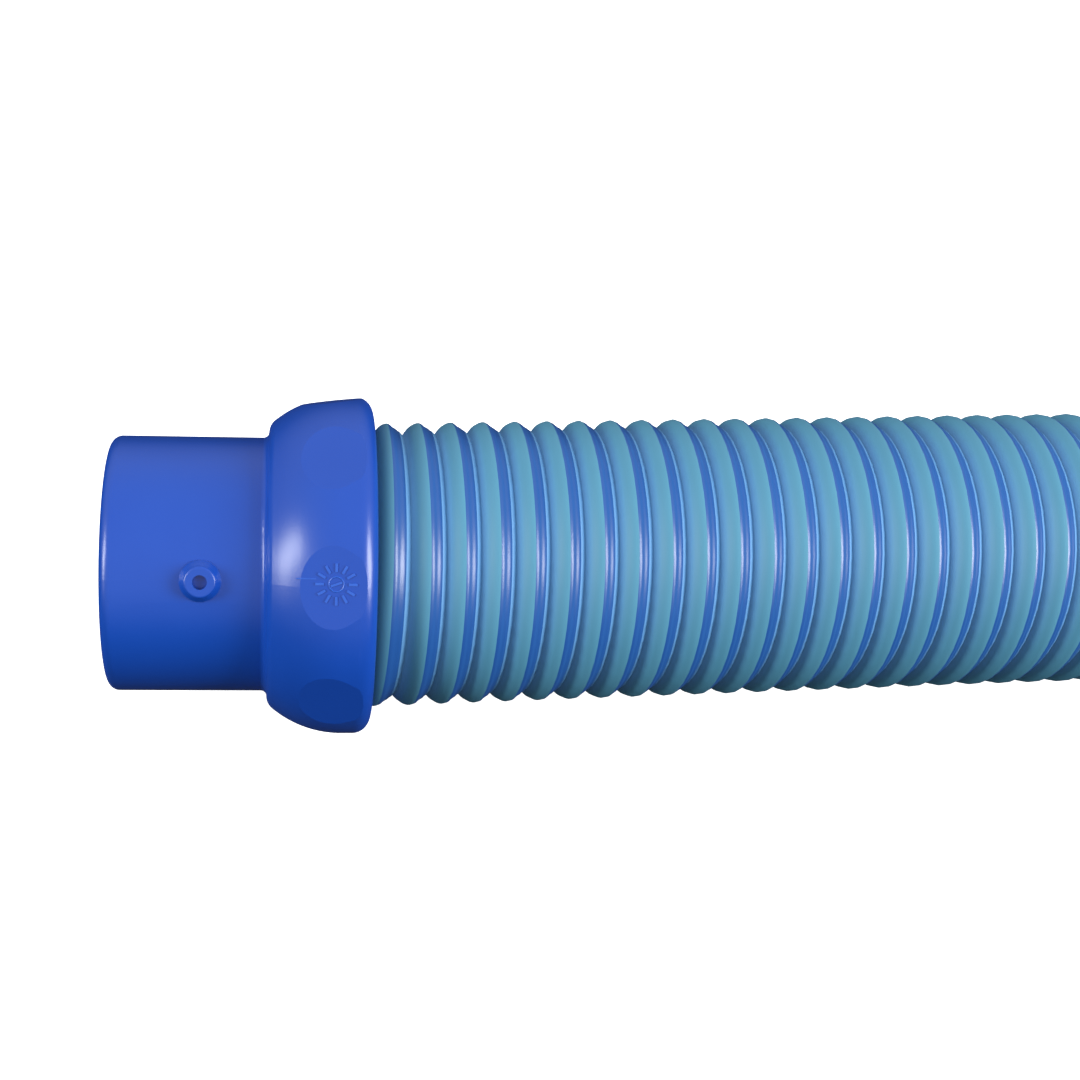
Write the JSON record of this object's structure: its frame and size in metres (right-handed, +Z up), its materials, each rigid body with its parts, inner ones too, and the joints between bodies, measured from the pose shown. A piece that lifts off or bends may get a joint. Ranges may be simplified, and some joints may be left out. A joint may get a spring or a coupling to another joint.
{
  "type": "pool vacuum hose section",
  "caption": "One metre ribbed hose section for pool and spa vacuum cleaners, with a push-and-twist male cuff and a female cuff with lock slots.",
  "frame": {"origin": "centre of the male cuff's mouth, on the hose's axis", "axes": "+X along the hose from the male mouth to the female mouth, +Z up; the section lies on one grip flat of each collar"},
  "size_m": [1, 0.0588, 0.0588],
  "materials": {
    "cuff": "glossy moulded, royal blue",
    "wall": "satin extruded, teal blue",
    "band": "glossy extruded, royal blue"
  },
  "bodies": {
    "root": {"male_cuff": "cuff", "hose_wall": "wall", "hose_band": "band", "female_cuff": "cuff"}
  },
  "joints": []
}
